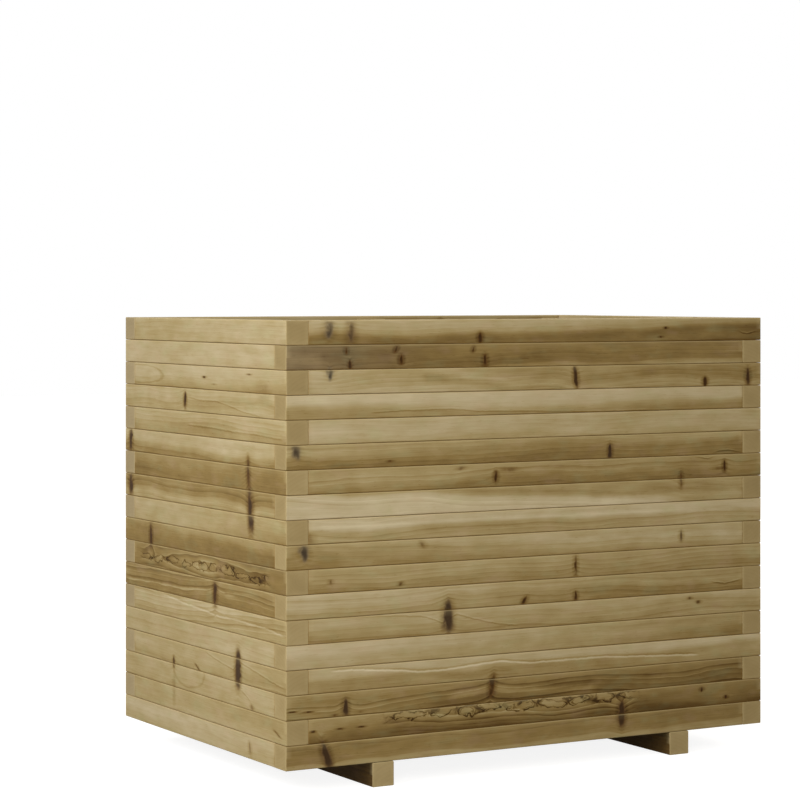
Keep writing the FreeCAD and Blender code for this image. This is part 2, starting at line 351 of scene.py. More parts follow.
def tube_faces(rows, columns):
    """Quads of a tube of rings of points, and triangles to the middle point of either end, which
    are the last two points."""
    row, column = np.meshgrid(np.arange(rows - 1), np.arange(columns), indexing="ij")
    here = row * columns + column
    beside = row * columns + (column + 1) % columns
    quads = np.stack([here, beside, beside + columns, here + columns], axis=2).reshape(-1, 4)
    first = np.arange(columns)
    last = first + (rows - 1) * columns
    middle = np.full(columns, rows * columns)
    fans = np.concatenate([np.stack([middle, np.roll(first, -1), first], axis=1),
                           np.stack([middle + 1, last, np.roll(last, -1)], axis=1)])
    return quads, fans


def timber_grid(timber, arris, hollow, rng, step):
    """The section carried along the grain. At each end its size shrinks by a quarter circle, less
    sine and cosine of the turn, and three smaller rings and a middle point close the end."""
    half_along, half_across, half_up = timber.half
    turn = np.linspace(0.0, np.pi / 2, END_STEPS + 1)
    lead = END_ARRIS * (1.0 - np.cos(turn))
    shrink = END_ARRIS * (1.0 - np.sin(turn))
    inner = half_along - END_ARRIS - END_SUPPORT
    body = np.linspace(-inner, inner, int(round(2.0 * inner / step)) + 1)
    caps = np.full(len(CAP_SHARES), half_along)
    along = np.concatenate([-caps, lead - half_along, body, half_along - lead[::-1], caps])
    cap_inset = np.full(len(caps), END_ARRIS)
    inset = np.concatenate([cap_inset, shrink, np.zeros(len(body)), shrink[::-1], cap_inset])
    shares = np.concatenate([CAP_SHARES, np.ones(len(along) - 2 * len(caps)), CAP_SHARES[::-1]])

    side, facing, share = rounded_section(half_across, half_up, arris, step)
    round_off = arris * np.stack([
        LEAST_ROUNDING + ROUNDING_SPREAD * smooth_drift(rng, along, ROUNDING_REACH)
        for corner in range(4)], axis=1)
    drawn_in = hollow * np.stack([
        least + (1.0 - least) * smooth_drift(rng, along, HOLLOW_REACH)
        for least in LEAST_HOLLOWS], axis=1)
    radius = round_off @ share.T
    half_sizes = np.stack([
        half - np.where(side[:, axis] > 0, drawn_in[:, [axis]], drawn_in[:, [axis + 2]])
        for axis, half in enumerate((half_across, half_up))], axis=2)
    section = ((half_sizes - radius[..., None]) * side
               + (radius - inset[:, None])[..., None] * facing) * shares[:, None, None]
    rows, columns = radius.shape
    place = np.column_stack([np.repeat(along, columns), section.reshape(-1, 2)])
    place = np.concatenate([place, [(-half_along, 0, 0), (half_along, 0, 0)]])

    quads, fans = tube_faces(rows, columns)
    if timber.mirrored:
        quads, fans = quads[:, ::-1], fans[:, ::-1]
    return place, quads.tolist() + fans.tolist()


trial = Timber((-431, -19, -19), (431, 19, 19), 0, (0, -1, 0))
trial_faces = timber_grid(trial, 1.3, 0.26, np.random.default_rng(0), 9.0)[1]
print("half sizes of a long slat", trial.half, "faces", len(trial_faces))

# %% [markdown]
# ## What each plank carries
# A picture of planks would be quick, but it would look pasted on at every corner. Instead each
# vertex carries facts about its own stick, and the material works out the wood from them: where the
# point lies in the stick, where the heart of the tree was, how strongly the rings show, and how far
# the nearest branch stub is. The ends and all four sides then belong together as they do in wood.

# %% Facts of a plank
PLAIN = {"tone": 0.0, "depth": 0.2, "pith_across": -20.0, "pith_up": -70.0, "edge": 0.0,
         "soft": 8.0, "lean": 0.0, "spacing": 6.0, "wave": 0.5, "line": 0.3, "fade": 0.0,
         "span": (-1000.0, 1000.0), "streak": (1.0, 0.0, ((-1.0, 1000.0), (1.0, 1000.0))),
         "loop": (0.0, 0.0, 10.0, 10.0, 0.0), "end_light": 0.0, "end_grey": 0.0,
         "weather": (0.0, 10.0, 0.0)}
FAR = 1000.0
KNOT_GAP, LEAST_REACH, MOST_REACH = 10.0, 9.0, 42.0


def knot_facts(place, knots):
    """For each point the nearest knot's place seen from it, its strength there, and its form. A
    knot is told by place, height, half width, half height, widening, tint, tilt and darkness."""
    offset = np.tile((FAR, 0.0, 0.0), (len(place), 1))
    form = np.tile((1.0, 1.0, 0.0), (len(place), 1))
    if len(knots) == 0:
        return offset, form, 0.0
    knots = np.array(knots, float)
    apart = np.abs(knots[:, None, 0] - knots[None, :, 0]) + FAR * np.eye(len(knots))
    reach = np.clip(apart.min(axis=1) / 2.0 - KNOT_GAP, LEAST_REACH, MOST_REACH)
    nearest = np.abs(place[:, :1] - knots[None, :, 0]).argmin(axis=1)
    knot, reach = knots[nearest], reach[nearest]
    offset[:, 1] = place[:, 2] - knot[:, 1]
    offset[:, 0] = place[:, 0] - knot[:, 0] - knot[:, 6] * offset[:, 1]
    fade = (reach - np.abs(place[:, 0] - knot[:, 0])) / (0.5 * reach)
    offset[:, 2] = np.clip(fade, 0.0, 1.0) * knot[:, 7]
    return offset, knot[:, 2:5], knot[:, 5]


def share_of(depth, reach):
    """1 where a depth in mm is nought, falling evenly to 0 at its reach."""
    return np.clip(1.0 - depth / reach, 0.0, 1.0)


print("facts of a plank", len(PLAIN))

# %% [markdown]
# The facts are written as three numbers to a vertex. The edges that get a painted highlight, sawn
# ends and the gaps where a stick presses on its neighbour, which get dust and painted shade, are
# told by depth under the skin. A pale or dark line that crosses a plank is a route over its face,
# and the vertex carries how far above the route it lies.

# %% Writing the facts
# how far in mm from an edge the painted highlight reaches
EDGE_HIGHLIGHT_WIDTH = 3.2
CUT_DEPTH = 0.8
SPAN_FADE, STREAK_FADE = 25.0, 12.0


def mark_wood(mesh, timber, facts, knots, joints=()):
    """Writes the plank's facts to the mesh, from where each vertex lies in the stick. joints
    names the sides that press on a neighbour, as axis and direction of the stick, and how far
    dust and shade creep out of that gap."""
    points = np.empty(len(mesh.vertices) * 3)
    mesh.vertices.foreach_get("co", points)
    place = timber.to_grain(points.reshape(-1, 3) / MM)
    along, up = place[:, 0], place[:, 2]
    facts = SimpleNamespace(**{**PLAIN, **facts})
    heart = np.hypot(timber.half[1] - facts.pith_across, facts.edge - facts.pith_up)
    gaps = np.sort(timber.half - np.abs(place), axis=1)
    in_joint = np.zeros(len(place))
    for axis, direction, reach in joints:
        depth = timber.half[axis] - direction * place[:, axis]
        in_joint = np.maximum(in_joint, share_of(depth, reach))
    to_span_end = np.minimum(along - facts.span[0], facts.span[1] - along)
    streak_width, streak_light, route = facts.streak
    route_along, route_up = np.array(route).T
    to_route_end = np.minimum(along - route_along.min(), route_along.max() - along)
    loop_along, loop_up, loop_length, loop_height, loop_depth = facts.loop
    weather_along, weather_reach, weather_share = facts.weather
    ordered = sorted(knots)
    first_offset, first_form, first_tint = knot_facts(place, ordered[0::2])
    second_offset, second_form, second_tint = knot_facts(place, ordered[1::2])
    carried = {
        "place": place.T,
        "pith": (facts.pith_across, facts.pith_up + facts.lean * along / 100.0, heart),
        "figure": (facts.spacing, facts.wave,
                   facts.line * np.clip(to_span_end / SPAN_FADE, 0.0, 1.0)),
        "streak": (up - np.interp(along, route_along, route_up), streak_width,
                   streak_light * np.clip(to_route_end / STREAK_FADE, 0.0, 1.0)),
        "loop": ((along - loop_along) / loop_length, (up - loop_up) / loop_height, loop_depth),
        "tone": (facts.tone + facts.fade * along * MM, facts.depth, facts.soft),
        "trace": (facts.seed, share_of(gaps[:, 1], EDGE_HIGHLIGHT_WIDTH), in_joint),
        "end": (share_of(timber.half[0] - np.abs(along), CUT_DEPTH), facts.end_light,
                facts.end_grey),
        "knot_one": first_offset.T, "knot_one_form": first_form.T,
        "knot_two": second_offset.T, "knot_two_form": second_form.T,
        "stain": (first_tint, second_tint,
                  weather_share * share_of(np.abs(along - weather_along), weather_reach))}
    for name, numbers in carried.items():
        values = np.stack(np.broadcast_arrays(*numbers), axis=1)
        layer = mesh.attributes.new(name, "FLOAT_VECTOR", "POINT")
        layer.data.foreach_set("vector", np.ascontiguousarray(values, dtype=np.float32).ravel())

# %% [markdown]
# ## Pressure-treated pine
# The wood is solved as a solid. The distance from a wandering heart line counts the yearly rings,
# and branch stubs, islands, lines and stains are laid over them. First come the fields that all
# parts of the recipe share: the place in the stick and soft clouds, longer along the grain than
# across, which make every line waver.

# %% Place and clouds
def carried_vector(start, name):
    """The three numbers of a fact that every vertex carries."""
    return start.node("ShaderNodeAttribute", {"attribute_name": name}, None, "Vector").parts()


def wood_place(start):
    """Place in the stick in mm, the stick's own shift, and clouds of several lengths."""
    at = SimpleNamespace(start=start)
    at.along, at.across, at.up = carried_vector(start, "place")
    at.seed, at.arris, at.joint = carried_vector(start, "trace")
    at.shift = at.seed * 17.3
    cloud_place = start.vector(at.along / 46.0 + at.shift, at.across / 30.0 + at.shift,
                               at.up / 21.0)
    at.cloud, at.patch, at.ripple = start.noise(cloud_place, 2.0, 0.5, "Color").parts()
    gnarl = start.noise(start.vector(at.along / 9.0 + at.shift, at.up / 12.0, at.seed), 2.0, 0.5)
    at.gnarl = gnarl - 0.5 + (at.ripple - 0.5) * 0.5
    wander_place = start.vector(at.along / 230.0 + at.shift, at.seed, 0.5)
    at.wander_across, at.wander_up, at.slow = start.noise(wander_place, 1.0, 0.4, "Color").parts()
    wave_place = start.vector(at.along / 38.0 + at.shift, at.across / 20.0,
                              at.up / 14.0 + at.seed)
    at.small_wave = start.noise(wave_place, 1.0, 0.4)
    return at

# %% [markdown]
# ### Branch stubs
# A branch is darker and harder than the wood round it. It pushes the rings outwards on both sides,
# and in damp or treated timber it often turns blue-grey. Where it was cut lengthwise it shows as a
# narrow lens. A painted dot would lack the rings that bend round it, so a stub is a soft hill, and
# its push is taken off the radius that counts the rings.

# %% Branch stubs
def knot_fields(at, name, tint):
    """How much of a point is knot, how much is the stained wood round it, how far the knot pushes
    the rings, and how near it is along the grain. The knot is a soft hill, e to the minus square
    of the distance from a lens that widens towards one end; the push falls off like e to the
    minus distance, so rings run up steeply beside it."""
    beside, above, strength = carried_vector(at.start, name)
    half_width, half_height, taper = carried_vector(at.start, name + "_form")
    run = above / half_height
    width = half_width * (taper * run + 1.0).maths("MAXIMUM", 0.12)
    near = (beside + at.gnarl * (half_width + 1.5)) / width
    tall = run * run
    far = near * near + tall * tall * 0.8 + tall * 0.3
    core = (far * -0.55).maths("EXPONENT") * strength * (at.gnarl * 0.8 + 1.0)
    wide = beside / (half_width * 1.6 + 4.0)
    stain = (wide * wide + tall * 0.6).step(1.5, 0.0) * strength
    around = (beside.maths("ABSOLUTE") / (half_width + 9.0) * -1.0).maths("EXPONENT")
    around = around * strength * tall.step(6.0, 0.2)
    push = around * (half_height * 0.45).maths("MINIMUM", 7.0)
    return SimpleNamespace(core=core, stain=stain, push=push, around=around, tint=tint)


def with_knot(wood, knot):
    """A branch stub over the wood: a brown or grey rim that darkens to the middle."""
    rim = knot.tint.blend(paint(104, 72, 34), paint(128, 119, 98))
    middle = knot.tint.blend(paint(50, 31, 12), paint(60, 54, 46))
    wood = (knot.core.step(0.12, 0.74) * 0.78).blend(wood, rim)
    return (knot.core.step(0.38, 0.86) * 0.88).blend(wood, middle)

# %% [markdown]
# ### Yearly rings
# A ring starts with pale early wood and ends in a thin dark line of late wood. Some years are drawn
# strongly and most hardly at all, which a lot for each ring decides. Inside the heartwood radius
# the tone is browner. A Wave texture has rings too, but all alike and round a straight line.

# %% Yearly rings
HEART_WANDER = 22.0


def year_rings(at, one, two):
    """Radius is the root of the sum of squares from the heart line, waved a little, less the push
    of the knots. Radius over spacing counts the years; what is left over is the season."""
    pith_across, pith_up, heart_radius = carried_vector(at.start, "pith")
    spacing, wave, at.line = carried_vector(at.start, "figure")
    at.tone, at.depth, soft = carried_vector(at.start, "tone")
    at.island = wave.step(0.9, 1.3)
    from_heart = at.across - pith_across + (at.wander_across - 0.5) * HEART_WANDER
    at.over_heart = at.up - pith_up + (at.wander_up - 0.5) * HEART_WANDER
    radius = (from_heart * from_heart + at.over_heart * at.over_heart).maths("SQRT")
    radius = radius + (at.small_wave - 0.5) * wave * (1.0 - at.island * 0.75) * 5.0
    at.radius = radius - one.push - two.push
    year = at.radius / spacing + at.shift
    season = year.maths("FRACT")
    luck = (year.maths("FLOOR") + at.seed).lot()
    at.late = season.step(0.35, 0.90) * season.step(1.0, 0.93)
    at.early = season.step(0.30, 0.02)
    marked = (luck * luck * luck + 0.06) * (1.0 - at.island * 0.4)
    at.marked = (marked + (one.stain + two.stain) * 0.15) * at.line
    at.heart = at.radius.step(heart_radius + soft, heart_radius - soft)
    band_place = at.start.vector(at.radius / 14.0 + at.shift, at.along / 500.0, at.seed)
    at.bands = at.start.noise(band_place, 1.5, 0.5)

# %% [markdown]
# ### Ring islands, loops and lines
# Where the saw ran along a ring, the ring comes up to the face and goes down again, and leaves a
# chain of closed islands, like a map. Noise alone gives no closed lines, so each link of the chain
# is an oval with a height, size and length of its own by lot, a second oval inside it, and a dark
# pinch where two links meet. A single large loop and the long pale lines are drawn the same way,
# as soft hills over a distance.

# %% Islands, loops and lines
LINK_LENGTH = 52.0
OUTLINE_SHARE, INNER_SHARE, PINCH_SHARE, FILL_SHARE = 0.52, 0.34, 0.30, 0.05


def ring_islands(at):
    """Darkness of the chain of ovals. An oval is where run squared plus level squared is 1."""
    link_place = at.along / LINK_LENGTH + (at.slow + at.cloud) * 1.5 + at.shift
    rise, size, stretch = (link_place.maths("FLOOR") + at.seed).lot("Color").parts()
    run = (link_place.maths("FRACT") - 0.5 + at.gnarl * 0.12) / (stretch * 0.12 + 0.36)
    level = at.over_heart + (rise - 0.5) * 6.0 + at.gnarl * 10.0 + (at.small_wave - 0.5) * 16.0
    level = level / (size * 4.0 + 4.5)
    oval = (run * run + level * level).maths("SQRT")
    outline = ((oval - 1.0).maths("ABSOLUTE") / (at.ripple * 0.34 + 0.04)).step(1.0, 0.0)
    outline = outline * at.gnarl.step(-0.16, 0.04, 0.30, 1.0)
    inner = ((oval - 0.52 - rise * 0.2).maths("ABSOLUTE") / 0.12).step(1.0, 0.0)
    inner = inner * at.gnarl.step(-0.10, 0.15)
    pinch = run.maths("ABSOLUTE").step(1.0, 1.25) * oval.step(1.7, 1.2) * size.step(0.3, 0.5)
    chain = outline * OUTLINE_SHARE + inner * INNER_SHARE + pinch * PINCH_SHARE
    return (chain - oval.step(1.0, 0.6) * FILL_SHARE) * at.line * at.island


def closed_loop(at):
    """Darkness of one ring that closes on the face: a hill over the distance from its oval."""
    run, level, depth = carried_vector(at.start, "loop")
    run = run + at.gnarl * 0.15
    level = level + (at.ripple - 0.5) * 0.4
    return (((run * run + level * level).maths("SQRT") - 1.0) / 0.07).hill() * depth


def crossing_line(at):
    """Light of a line along its route, with a little shade above it."""
    over, width, light = carried_vector(at.start, "streak")
    across = (over + at.gnarl * 2.5) / width
    return (across.hill() - (across - 1.8).hill() * 0.5) * light

# %% [markdown]
# ### Colour, ends and relief
# All of that only moves one number, the lightness, and a ramp turns it into the colours of treated
# pine. The green of the preservative stays in soft patches, others are pinker, and a plank that
# stood in the weather goes grey. Sawn ends have a colour of their own, because cut pores drink most
# of the preservative. The edges on a stick's upper side and at its sawn ends get a painted
# highlight, and the joints get brown dust with painted shade. A fine relief of fibres feeds the
# Bump node, and the rougher inner sticks add the ripple of the saw.

# %% Lightness of the wood
PALE_TO_DARK = ((0.00, (60, 42, 18)), (0.22, (98, 75, 38)), (0.45, (141, 118, 71)),
                (0.62, (167, 148, 103)), (0.78, (187, 171, 135)), (1.00, (212, 199, 164)))
END_COLOURS = ((0.0, (76, 60, 30)), (0.5, (158, 138, 95)), (1.0, (208, 190, 146)))
MIDDLE_TONE = 0.62
SHARES = {"bands": 0.20, "cloud": 0.20, "slow": 0.14, "fibre": 0.14}
LATE_SHARE, EARLY_SHARE, STAIN_SHARE, FLECK_SHARE = 0.31, 0.20, 0.18, 0.07


def colour_ramp(value, stops):
    """A colour picked from stops along a number from 0 to 1."""
    ramp = value.node("ShaderNodeValToRGB", None, {0: value})
    band = ramp.socket.node.color_ramp
    while len(band.elements) < len(stops):
        band.elements.new(0.5)
    for element, (place, colour) in zip(band.elements, stops):
        element.position = place
        element.color = paint(*colour)
    return ramp


def wood_lightness(at, knots):
    """The plank's tone, less its heartwood, plus or less the share of each thing that marks it."""
    fibre_place = at.start.vector(at.along / 55.0 + at.shift, at.across / 1.7, at.up / 1.7)
    at.fibre = at.start.noise(fibre_place, 2.0, 0.55)
    fleck_place = at.start.vector(at.along / 10.0 + at.shift, at.across / 1.6,
                                  at.up / 1.4 + at.seed)
    fleck = at.start.noise(fleck_place, 0.0, 0.5).step(0.72, 0.82)
    light = at.tone + MIDDLE_TONE - at.depth * at.heart
    for name, share in SHARES.items():
        light = light + (getattr(at, name) - 0.5) * share
    light = light - at.late * at.marked * LATE_SHARE + at.early * at.marked * EARLY_SHARE
    light = light - ring_islands(at) - closed_loop(at) + crossing_line(at)
    swirl = (at.radius * 1.2).maths("SINE") * (at.patch * 0.14 - 0.02)
    for knot in knots:
        light = light + swirl * knot.around
        light = light - knot.stain * (STAIN_SHARE - knot.tint * 0.14)
    return light - fleck * FLECK_SHARE

# %% [markdown]
# The parts come together in one material. Planed slats and sawn inner sticks differ in it only by
# the ripple of the saw.

# %% The finished pine
def pine_material(name, saw_marks):
    """Solid pine worked out from the facts that each stick carries."""
    made, start, shader = new_material(name)
    at = wood_place(start)
    cut, end_light, end_grey = carried_vector(start, "end")
    tint_one, tint_two, weathered = carried_vector(start, "stain")
    one = knot_fields(at, "knot_one", tint_one)
    two = knot_fields(at, "knot_two", tint_two)
    year_rings(at, one, two)
    light = wood_lightness(at, (one, two))

    wood = colour_ramp(light, PALE_TO_DARK)
    green = at.patch.step(0.52, 0.75, 0.0, 0.30)
    wood = green.blend(wood, light.blend(paint(64, 58, 30), paint(196, 190, 138)))
    pink = at.patch.step(0.46, 0.24, 0.0, 0.22)
    wood = pink.blend(wood, light.blend(paint(84, 56, 36), paint(214, 184, 148)))
    wood = weathered.blend(wood, light.blend(paint(62, 56, 50), paint(185, 172, 158)))
    cut_light = (at.slow - 0.5) * 0.30 - at.late * 0.02 - (at.cloud - 0.5) * 0.14
    cut_wood = colour_ramp(cut_light + 0.50 + end_light, END_COLOURS)
    wood = cut.blend(wood, end_grey.blend(cut_wood, paint(170, 160, 140)))
    wood = with_knot(with_knot(wood, one), two)
    # painted highlight: the edges on a stick's upper side, and all edges at its sawn ends, are
    # lightened as if they caught the light
    edge_highlight = at.arris * (at.up.step(-1.0, 1.0) * (1.0 - cut) * 0.46 + cut * 0.25)
    wood = edge_highlight.blend(wood, paint(206, 188, 140))
    # brown dust and painted shade: the wood is browned and darkened towards each joint where a
    # stick presses on its neighbour
    dust_and_shade = at.joint.step(0.02, 0.90) * 0.42
    dust_and_shade.blend(wood, paint(132, 96, 34)).into(shader, "Base Color")

    knotty = one.core + two.core
    ((at.fibre - 0.5) * 0.16 + 0.66 + cut * 0.12 - knotty * 0.12).into(shader, "Roughness")
    height = (at.fibre * 0.5 - at.late * at.marked * 0.5) * (1.0 - cut * 0.8) - knotty * 0.4
    if saw_marks:
        sweep = at.along * 1.6 + at.across * 0.25 + at.up * 0.25 + (at.cloud - 0.5) * 14.0
        height = height + sweep.maths("SINE") * saw_marks
    start.node("ShaderNodeBump", None, {"Strength": 0.35, "Distance": 0.0006,
                                        "Height": height}).into(shader, "Normal")
    shader.inputs["Specular IOR Level"].default_value = 0.05
    return made


planed_pine = pine_material("planed_treated_pine", 0.0)
sawn_pine = pine_material("sawn_treated_pine", 0.35)
print("nodes in the pine", len(planed_pine.node_tree.nodes))

# %% [markdown]
# ## Making one stick
# Every stick takes the size of the plain one in the measured model, gets its mesh, its facts and
# its material, and is handed to the frame in its place. The object stays at the origin and the
# place is in the mesh, because the wood is worked out from places.

# %% Making one stick
GRID_STEP = 9.0
SMOOTH_TURN = 50.0


def node_box(node):
    """The lowest and highest corner of a plain part, in mm."""
    low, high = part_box(node)
    return np.array(low) / MM, np.array(high) / MM


def stick_mesh(name, stick, arris, hollow, rng):
    """The bare mesh of one stick."""
    place, faces = timber_grid(stick, arris, hollow, rng, GRID_STEP)
    mesh = bpy.data.meshes.new(name)
    mesh.from_pydata((stick.to_world(place) * MM).tolist(), [], faces)
    return mesh


def hand_over(name, mesh, material, node, smooth_turn=SMOOTH_TURN):
    """Shades a finished mesh and hands it to the frame in place of one plain part."""
    mesh.set_sharp_from_angle(angle=np.radians(smooth_turn))
    mesh.shade_smooth()
    mesh.materials.append(material)
    piece = bpy.data.objects.new(name, mesh)
    scene.collection.objects.link(piece)
    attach(piece, "root")
    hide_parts(node)


print("first slat from, to", *node_box("long_slats_course_01"))

# %% [markdown]
# ## The four walls
# The long front wall and the short left one follow the picture plank by plank: for each course the
# tone, how much darker its heartwood is and where that begins, where the heart of the tree lay, and
# how strongly the rings show. The other two walls aren't seen there, so their planks are drawn by
# lot from the same kind of wood.

# %% Planks of the two walls in the picture
COURSES = 18
FACT_NAMES = ("tone", "depth", "pith_across", "pith_up", "edge", "soft", "lean", "wave",
              "line", "fade")
ISLAND_SPACING = 4.5
FRONT_PLANKS = {
    18: (0.045, 0.32, -20, -80, 3, 8, 0.6, 0.4, 0.19, -0.10),
    17: (-0.03, 0.20, -20, 70, -19, 5, 2.2, 0.5, 0.28, 0.04),
    16: (0.03, 0.10, -20, 80, -9, 6, 1.2, 0.3, 0.22, -0.28),
    15: (0.14, 0.24, -20, -60, -4, 8, -0.5, 0.4, 0.28, -0.05),
    14: (0.09, 0.07, -30, -80, -8, 12, 0.0, 0.3, 0.15, -0.12),
    13: (-0.03, 0.20, -20, -80, 0, 12, 0.8, 0.4, 0.19, 0.00),
    12: (-0.07, 0.12, -30, -60, -6, 8, 0.5, 0.7, 0.34, -0.10),
    11: (0.19, 0.27, -30, 70, 0, 7, -6.2, 0.4, 0.25, 0.09),
    10: (0.17, 0.18, -20, -70, 3, 6, 0.8, 0.4, 0.34, 0.00),
    9: (0.06, 0.16, -30, -80, -2, 12, -2.0, 0.4, 0.22, 0.15),
    8: (0.00, 0.11, -30, -90, -2, 12, 0.4, 0.4, 0.22, 0.00),
    7: (0.02, 0.14, -20, -70, -4, 8, 0.4, 0.6, 0.31, -0.25),
    6: (0.06, 0.11, -30, -70, 0, 9, 0.4, 0.4, 0.28, 0.00),
    5: (0.06, 0.11, -30, -70, -4, 9, 0.3, 0.4, 0.19, -0.25),
    4: (0.15, 0.20, -20, -60, 4, 6, 0.5, 0.4, 0.37, 0.10),
    3: (-0.18, 0.12, -30, -60, -6, 8, 0.4, 0.6, 0.60, -0.14),
    2: (-0.38, -0.26, -8, 13, -4, 9, 0.0, 2.2, 0.95, -0.15),
    1: (-0.05, 0.16, -30, 70, -9, 5, 0.5, 0.4, 0.28, 0.03)}
LEFT_PLANKS = {
    18: (0.065, 0.06, -30, -80, -6, 9, 0.4, 0.3, 0.15, 0.00),
    17: (0.11, 0.06, -30, -80, -8, 9, 0.3, 0.3, 0.14, 0.00),
    16: (0.09, 0.20, -30, -60, -6, 9, -1.5, 0.5, 0.19, 0.00),
    15: (0.09, 0.08, -30, -60, 0, 8, -1.5, 0.3, 0.28, 0.00),
    14: (0.05, 0.15, -30, -60, 0, 8, 1.2, 0.4, 0.20, 0.00),
    13: (0.08, 0.24, -30, -60, -7, 7, 0.4, 0.3, 0.19, 0.00),
    12: (-0.15, 0.05, -30, -60, -2, 10, 0.4, 0.4, 0.22, 0.00),
    11: (-0.03, 0.12, -30, 60, -4, 6, 1.2, 0.4, 0.31, 0.00),
    10: (0.03, 0.06, -30, -60, 2, 5, 0.6, 0.4, 0.37, 0.25),
    9: (-0.08, 0.14, -30, -60, 8, 9, 0.4, 0.4, 0.22, 0.20),
    8: (-0.20, -0.06, -8, 0, 0, 6, 0.0, 2.2, 0.75, 0.08),
    7: (-0.14, 0.07, -30, -60, 3, 8, -1.0, 0.7, 0.48, 0.00),
    6: (0.08, 0.08, -20, -50, 2, 3, -2.4, 0.4, 0.56, 0.00),
    5: (0.09, 0.03, -30, -60, 0, 9, 0.4, 0.3, 0.15, 0.00),
    4: (0.03, 0.05, -30, -60, 0, 9, -1.6, 0.3, 0.22, 0.08),
    3: (0.05, 0.04, -30, -60, 0, 9, 0.4, 0.3, 0.15, -0.06),
    2: (0.02, 0.01, -30, 60, 0, 9, 0.4, 0.3, 0.15, 0.00),
    1: (0.10, 0.05, -30, -60, -4, 9, 0.4, 0.3, 0.15, 0.00)}
print("planks read on the picture", len(FRONT_PLANKS) + len(LEFT_PLANKS))

# %% [markdown]
# A branch that grew along the face is cut lengthwise and shows as a narrow dark lens or wedge,
# often one that goes on in the plank below. So knots are given as places on the wall, and each
# plank takes those that cross it.

# %% Knots of the two walls
# along the wall, top, bottom, half width at the top and at the bottom in mm, and darkness; then,
# where they aren't nought, the share of blue-grey and the tilt as mm sideways for each mm up
FRONT_KNOTS = [
    (-376, 722, 694, 9, 6, 0.75, 0.6), (-338, 722, 684, 8, 5, 0.65, 0.3),
    (-105, 701, 684, 2.5, 4.5, 0.9), (254, 708, 704, 2.5, 2.5, 0.9),
    (244, 693, 689, 2.5, 2.5, 0.7), (-346, 681, 669, 2, 2, 0.75), (-340, 660, 646, 2, 7, 1, 0.1),
    (-258, 682, 671, 2, 2.5, 0.85, 0, 0.4), (-249, 668, 652, 2, 4, 0.9),
    (-118, 680, 669, 1.5, 2, 0.8, 0, 0.2), (-96, 668, 647, 2.5, 4, 0.8),
    (-23, 664, 658, 5, 4, 0.35), (-374, 650, 629, 8, 3, 0.75, 0.8),
    (76, 645, 610, 3.5, 3, 1, 0.1, -0.1), (334, 624, 608, 3, 4, 1),
    (423, 638, 608, 2, 5, 0.9, 0.1), (-433, 533, 509, 10, 5, 0.8, 0.6, -0.2),
    (-269, 505, 501, 4, 4, 0.6, 0, 0.2), (-342, 482, 452, 14, 12, 0.18),
    (-140, 491, 484, 9, 5, 0.5, 0, 0.6), (143, 518, 494, 1.5, 4, 1, 0.2),
    (-76, 482, 463, 4, 1.5, 0.85), (-50, 486, 479, 17, 12, 0.55), (374, 484, 465, 2, 2.5, 1),
    (362, 474, 468, 10, 8, 0.45), (285, 467, 441, 2, 3, 0.7), (-409, 398, 378, 2, 11, 0.4),
    (-419, 380, 355, 10, 4, 0.85, 0.6, -0.2), (-210, 376, 365, 6, 3, 0.45, 0, -0.4),
    (285, 371, 352, 2, 3, 0.7, 0.2), (76, 341, 307, 2, 3, 0.7), (-373, 325, 317, 2, 3, 0.5),
    (-250, 315, 308, 4, 3, 0.6, 0, 0.4), (76, 282, 267, 1.5, 3.5, 0.9),
    (-22, 280, 266, 1.5, 5, 0.8, 0, 0.5), (-164, 281, 232, 5.5, 10, 1, 0.3),
    (303, 260, 255, 3, 3, 0.6), (321, 253, 247, 4, 4, 0.6), (-366, 119, 115, 6, 6, 0.6),
    (-439, 129, 126, 7, 7, 0.75), (-412, 127, 124, 9, 9, 0.7), (-347, 141, 115, 2.5, 5, 1, 0.2),
    (-322, 121, 117, 8, 8, 0.45), (-62, 162, 149, 26, 22, 0.3),
    (-83, 160, 124, 4.5, 4, 0.9, 0, 0.15), (-404, 97, 93, 5, 5, 0.8), (-357, 97, 94, 6, 6, 0.8),
    (-319, 97, 94, 5, 5, 0.8), (166, 98, 56, 5, 6, 1, 0.1), (327, 108, 100, 2.5, 2.5, 0.9),
    (377, 91, 85, 2.5, 2.5, 0.9), (-381, 80, 36, 3, 8, 1, 0.2, -0.3)]
LEFT_KNOTS = [
    (60, 602, 576, 3, 5, 0.9), (277, 531, 494, 7, 5, 0.9, 0.1),
    (-171, 507, 462, 4, 5, 0.75, 0, 0.05), (-178, 462, 391, 5, 11, 0.9, 0.1, 0.08),
    (277, 457, 420, 5, 8, 0.9, 0.1), (195, 378, 334, 4, 5, 0.85), (-52, 305, 262, 6, 7, 0.85),
    (-135, 202, 144, 7.5, 9, 1, 0.1), (104, 165, 146, 2.5, 3.5, 0.8),
    (103, 136, 84, 2.5, 3.5, 0.35), (13, 163, 152, 3, 4, 0.65, 0, 1.7),
    (-270, 96, 86, 3.5, 3.5, 0.6, 0, 2.2), (-12, 630, 626, 6, 6, 0.75),
    (-219, 626, 594, 26, 24, 0.30), (-49, 619, 616, 6, 6, 0.45), (-174, 638, 635, 8, 8, 0.6),
    (-177, 66, 44, 3, 4, 0.5, 0, 0.2), (-184, 124, 115, 4, 5, 0.55, 0, 0.3)]
print("knots", len(FRONT_KNOTS) + len(LEFT_KNOTS))

# %% [markdown]
# What is left are single marks: pale or dark lines that run across a plank, two ring islands and
# two closed loops, one stretch that the weather has greyed, and how light each sawn end is. They
# too are places on the wall, told by course.

